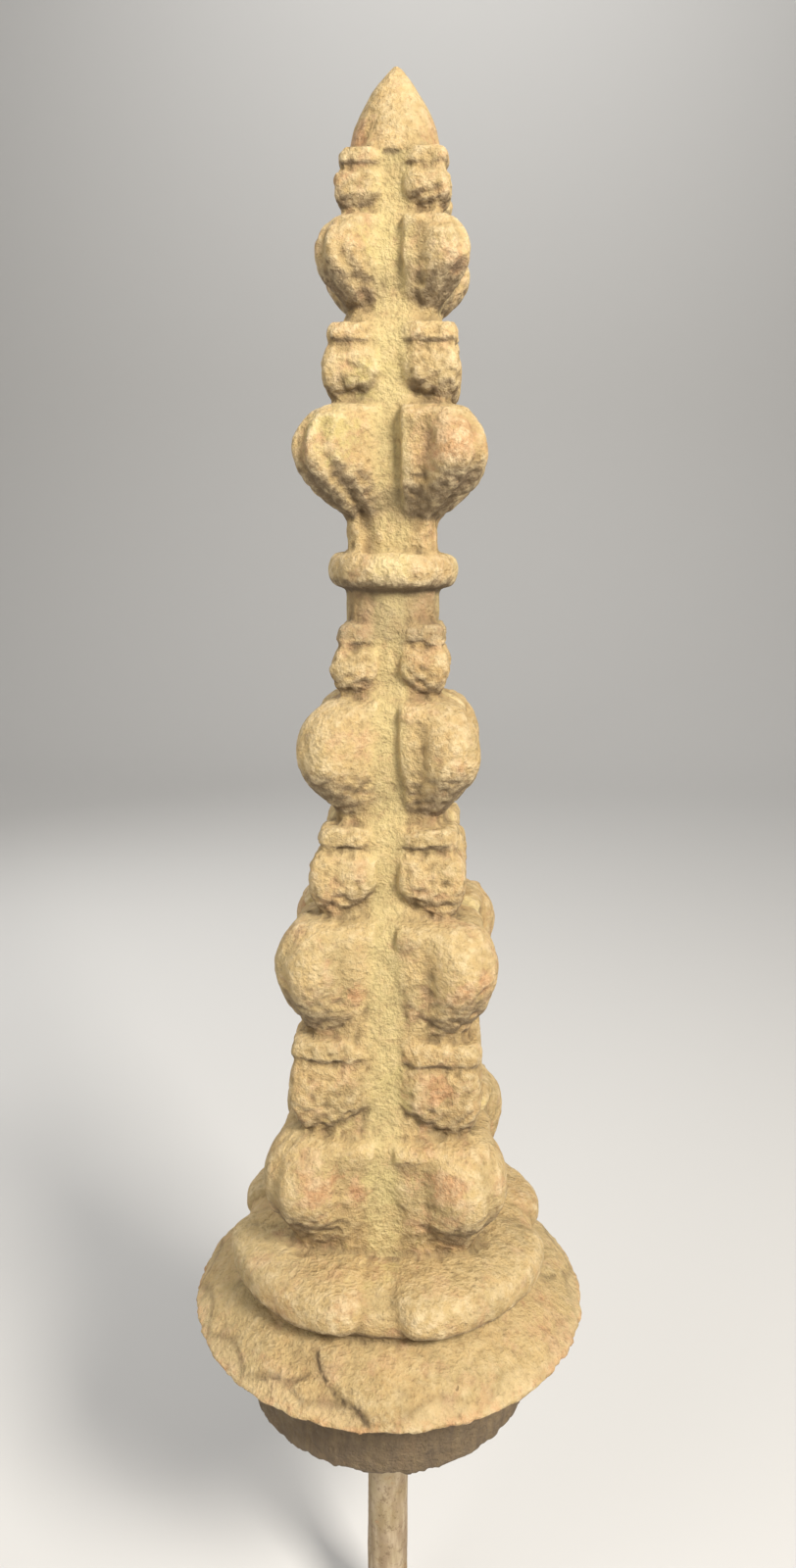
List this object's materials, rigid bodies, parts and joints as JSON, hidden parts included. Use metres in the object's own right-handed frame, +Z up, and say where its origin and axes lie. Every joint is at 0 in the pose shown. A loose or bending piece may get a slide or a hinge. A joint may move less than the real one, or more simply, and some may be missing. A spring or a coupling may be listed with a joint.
{
  "type": "cast iron finial",
  "caption": "Square-plan cast iron spire finial of stacked lipped cups and lobed buds with a ringed neck and pointed tip, on a petalled skirt, round drum and fixing rod.",
  "frame": {"origin": "centre of the flat lower end of the fixing rod, on the finial's axis", "axes": "+Z up along the finial's axis; -Y, +X, +Y and -X look into the four valleys between the columns, and -Y is the front"},
  "size_m": [0.146, 0.146, 0.5889],
  "materials": {
    "rusted_cast_iron": "pitted sand-cast surface with a sandy brown rust patina and lichen dust",
    "rusted_rod_iron": "smooth brown rust"
  },
  "bodies": {
    "root": {"finial_casting": "rusted_cast_iron", "fixing_rod": "rusted_rod_iron"}
  },
  "joints": []
}
